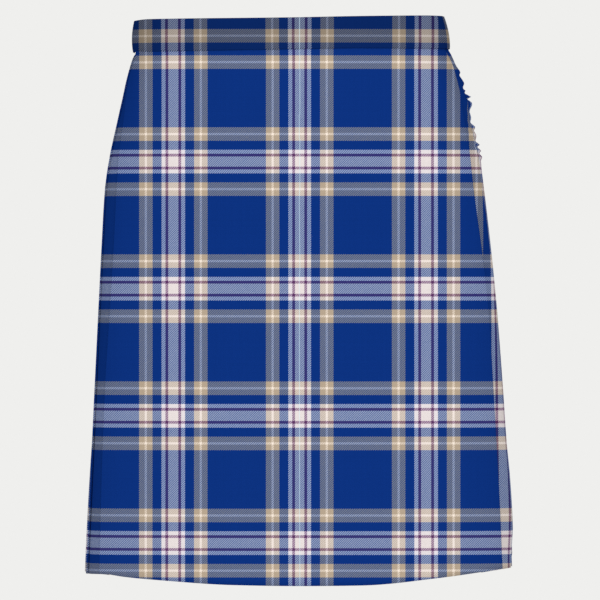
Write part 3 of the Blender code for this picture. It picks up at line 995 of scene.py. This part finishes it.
points, u, v = waistband()
inner_hem = points[-1]
waistband_cloth = cloth_piece("waistband_cloth", points, u, v)
dress(waistband_cloth, band_worsted, "band_worsted", "waistband")
print("band:", points.shape[1], "columns round a profile of", points.shape[0], "points")

# %% [markdown]
# ## The hooks and bars
#
# Two pairs of flat metal hooks and bars close the overlap inside the band. The packed
# solids already have their true shape, so they stay and only get a finish: nickel
# plate, slightly dulled by handling.

# %% Nickel
nickel = plain_finish("nickel", (0.62, 0.59, 0.54), 0.32, metallic=1.0)
for name in ("outer_hook", "outer_bar", "inner_hook", "inner_bar"):
    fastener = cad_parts[name]
    fastener.data.materials.clear()
    fastener.data.materials.append(nickel)
    print("kept:", name)

# %% [markdown]
# ## The stitches
#
# Each pleat is felled: its fold is sewn by hand to the pleat below it, from the band to
# the hip, with thread that matches the cloth. The inner edge of the band is slip-stitched
# down too. Over a thousand of the same small thing are a job for Geometry Nodes: a mesh of
# points says where each stitch is and which way it runs, and one short rounded piece of
# thread is placed on every point.

# %% Where the stitches go
FELL_STEP = 0.0042
FELL_BELOW_BAND = 0.004
BEFORE_FOLD, PAST_FOLD, INTO_PLEAT = 0.0004, 0.0007, 0.0009  # where a fell stitch ends
FELL_SLANT = 0.0006
UNEVEN_PLACE, UNEVEN_SLANT = 0.0004, 0.0002
SLIP_STEP = 0.0055
SLIP_REACH, SLIP_SLANT, SLIP_INSIDE = 0.0010, 0.0008, 0.0005
FELL_LENGTH, SLIP_LENGTH, THREAD_WIDTH = 0.0014, 0.0018, 0.00038


def stitch_places():
    """Points on the cloth, and the direction of the stitch at each."""
    places, runs = [], []
    hand = np.random.default_rng(33)
    heights = np.arange(BAND_BOTTOM - FELL_BELOW_BAND, HIP, -FELL_STEP)
    for height in heights:
        outline = Outline(float(height))
        for number in range(1, WIDE_PLEAT):
            edge = outline.fold(number) + pleat_shift(number, height)
            lift = pleat_lift(number, height)
            outside = CLOTH_MIDDLE + float(outline.underlay(edge)) - WORSTED / 2 - lift
            x, y = outline.place(edge - BEFORE_FOLD, outside)
            x_end, y_end = outline.place(edge + PAST_FOLD, outside + INTO_PLEAT)
            z = height + hand.uniform(-UNEVEN_PLACE, UNEVEN_PLACE)
            slant = hand.uniform(-UNEVEN_SLANT, UNEVEN_SLANT) - FELL_SLANT
            places.append(((x + x_end) / 2, (y + y_end) / 2, z))
            runs.append((x_end - x, y_end - y, slant))
    return places, runs


def slip_places(edge):
    """The same for slanted stitches along an inner edge, just inside it."""
    steps = np.linalg.norm(np.diff(edge, axis=0), axis=1)
    reading = readings(steps)
    at = np.arange(2 * SLIP_STEP, reading[-1] - SLIP_STEP, SLIP_STEP)
    middle, ahead = (
        np.stack([np.interp(tape, reading, edge[:, i]) for i in range(3)], axis=1)
        for tape in (at, at + SLIP_REACH)
    )
    runs = ahead - middle - [0.0, 0.0, SLIP_SLANT]
    inward = np.stack([middle[:, 1] - ahead[:, 1], ahead[:, 0] - middle[:, 0]], axis=1)
    middle[:, :2] += SLIP_INSIDE * inward / np.linalg.norm(inward, axis=1)[:, None]
    return middle.tolist(), runs.tolist()


places, runs = stitch_places()
slips, slip_runs = slip_places(inner_hem)
print("fell stitches:", len(places), "and slip stitches:", len(slips))


# %% One stitch on every point
def stitch_tree(thread):
    """A node group that lays a short piece of thread on each point, along its run."""
    tree = bpy.data.node_groups.new("stitches", "GeometryNodeTree")
    face = tree.interface
    face.new_socket("Geometry", in_out="INPUT", socket_type="NodeSocketGeometry")
    length = face.new_socket("Stitch Length", in_out="INPUT", socket_type="NodeSocketFloat")
    width = face.new_socket("Thread Width", in_out="INPUT", socket_type="NodeSocketFloat")
    face.new_socket("Geometry", in_out="OUTPUT", socket_type="NodeSocketGeometry")
    nodes = Nodes(tree)
    points, long, wide = nodes.add("NodeGroupInput").outputs[:3]
    run = nodes.add("GeometryNodeInputNamedAttribute", "run", data_type="FLOAT_VECTOR")
    turn = nodes.add("FunctionNodeAlignRotationToVector", axis="Z")
    nodes.feed(turn, {"Vector": run.outputs["Attribute"]})
    piece = nodes.add("GeometryNodeMeshUVSphere")
    nodes.feed(piece, {"Segments": 6, "Rings": 4, "Radius": 0.5})
    size = nodes.add("ShaderNodeCombineXYZ", wide, wide, long)
    place = nodes.add("GeometryNodeInstanceOnPoints", points)
    nodes.feed(place, {"Instance": piece.outputs["Mesh"], "Scale": size.outputs["Vector"]})
    nodes.feed(place, {"Rotation": turn.outputs["Rotation"]})
    real = nodes.add("GeometryNodeRealizeInstances", place.outputs["Instances"])
    finish = nodes.add("GeometryNodeSetMaterial", real.outputs["Geometry"])
    nodes.feed(finish, {"Material": thread})
    nodes.add("NodeGroupOutput", finish.outputs["Geometry"])
    return tree, length.identifier, width.identifier


thread = plain_finish("navy_thread", (0.0060, 0.0200, 0.0900), 0.7)
tree, length_input, width_input = stitch_tree(thread)


def sew(name, places, runs, length):
    """Makes the stitches at these places into one plain mesh that rides on the kilt."""
    mesh = bpy.data.meshes.new(name + "_places")
    mesh.from_pydata(places, [], [])
    attribute = mesh.attributes.new("run", "FLOAT_VECTOR", "POINT")
    attribute.data.foreach_set("vector", np.array(runs, np.float32).reshape(-1))
    marks = add_object(name + "_places", mesh)
    stitching = marks.modifiers.new("stitches", "NODES")
    stitching.node_group = tree
    stitching[length_input] = length
    stitching[width_input] = THREAD_WIDTH
    bpy.context.view_layer.update()
    evaluated = marks.evaluated_get(bpy.context.evaluated_depsgraph_get())
    made = add_object(name, bpy.data.meshes.new_from_object(evaluated))
    made.data.shade_smooth()
    bpy.data.objects.remove(marks, do_unlink=True)
    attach(made, "root")
    print(name + ":", len(places), "stitches,", len(made.data.polygons), "faces")


sew("fell_stitches", places, runs, FELL_LENGTH)
sew("slip_stitches", slips, slip_runs, SLIP_LENGTH)

# %% [markdown]

# %% [markdown]
# ## The studio
#
# The kilt is shown filled out and level with the eye, against an even pale ground. A
# photographer would light a white sweep from all sides, so the world itself is the pale
# ground and gives most of the light. One broad lamp in front fills the rest, and a
# narrower one behind shows the pleats there without reaching round to the front. The
# plain pale floor lies well below the hem. The camera stands far off with a long lens,
# which keeps the stripes parallel.

# %% Ground, light and camera
FILL_LIGHT = 0.55
PALE_GROUND = (0.8632, 0.8632, 0.8469, 1.0)
scene = bpy.context.scene
world = bpy.data.worlds.new("pale_studio")
scene.world = world
world.use_nodes = True
studio = Nodes(world.node_tree)
seen = world.node_tree.nodes["Background"]
studio.feed(seen, {"Color": PALE_GROUND})
fill = studio.add("ShaderNodeBackground", (1.0, 1.0, 1.0, 1.0), FILL_LIGHT)
by_camera = studio.add("ShaderNodeLightPath").outputs["Is Camera Ray"]
ground = studio.add("ShaderNodeMixShader", by_camera, fill.outputs[0], seen.outputs[0])
studio.tree.links.new(ground.outputs[0], world.node_tree.nodes["World Output"].inputs[0])


def softbox(name, size, energy, place, turned):
    """A broad soft lamp at this place, turned by these degrees."""
    made = add_object(name, bpy.data.lights.new(name, "AREA"))
    made.data.shape = "RECTANGLE"
    made.data.size, made.data.size_y = size
    made.data.energy = energy
    made.location = place
    made.rotation_euler = np.radians(turned)


softbox("front_softbox", (4.4, 2.4), 66.0, (0.20, -3.4, 0.35), (79, 0, 4))
softbox("back_softbox", (1.2, 2.4), 34.0, (0.10, 3.3, 0.60), (75, 0, 178))

FLOOR_HEIGHT, FLOOR_RADIUS = -1.05, 1.6
round_floor = np.linspace(0, 2 * np.pi, 96, endpoint=False)
floor_mesh = bpy.data.meshes.new("studio_floor")
floor_mesh.from_pydata(
    [(FLOOR_RADIUS * np.cos(a), FLOOR_RADIUS * np.sin(a), FLOOR_HEIGHT) for a in round_floor],
    [],
    [range(len(round_floor))],
)
floor = add_object("studio_floor", floor_mesh)
floor.data.materials.append(plain_finish("pale_floor", (0.80, 0.80, 0.785), 0.85))
floor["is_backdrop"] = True

FRAME_WIDTH = 0.642
LENS, SENSOR = 1500.0, 36.0
CAMERA_ACROSS, CAMERA_HEIGHT = 0.00963, -0.2857
FRAMED_DEPTH = -0.1  # the kilt's front, where the frame has its width
camera_data = bpy.data.cameras.new("camera")
camera_data.lens = LENS
camera_data.sensor_width = SENSOR
camera_data.clip_end = 100.0
camera = add_object("camera", camera_data)
distance = FRAME_WIDTH * LENS / SENSOR
camera.location = (CAMERA_ACROSS, FRAMED_DEPTH - distance, CAMERA_HEIGHT)
camera.rotation_euler = (np.radians(90), 0.0, 0.0)
scene.camera = camera

# A denoiser takes fine twill for noise and wipes it off
scene.cycles.use_denoising = False
scene.view_settings.view_transform = "Standard"
scene.view_settings.look = "None"
scene.view_settings.exposure = 0.0
scene.view_settings.gamma = 1.0

# %% [markdown]
# ## Check and finish
#
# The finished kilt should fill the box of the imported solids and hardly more.

# %% Compare sizes and finish
full_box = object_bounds()
for axis in range(3):
    ends = [round(1000 * box[end][axis], 1) for box in (cad_box, full_box) for end in (0, 1)]
    print("xyz"[axis], *ends)
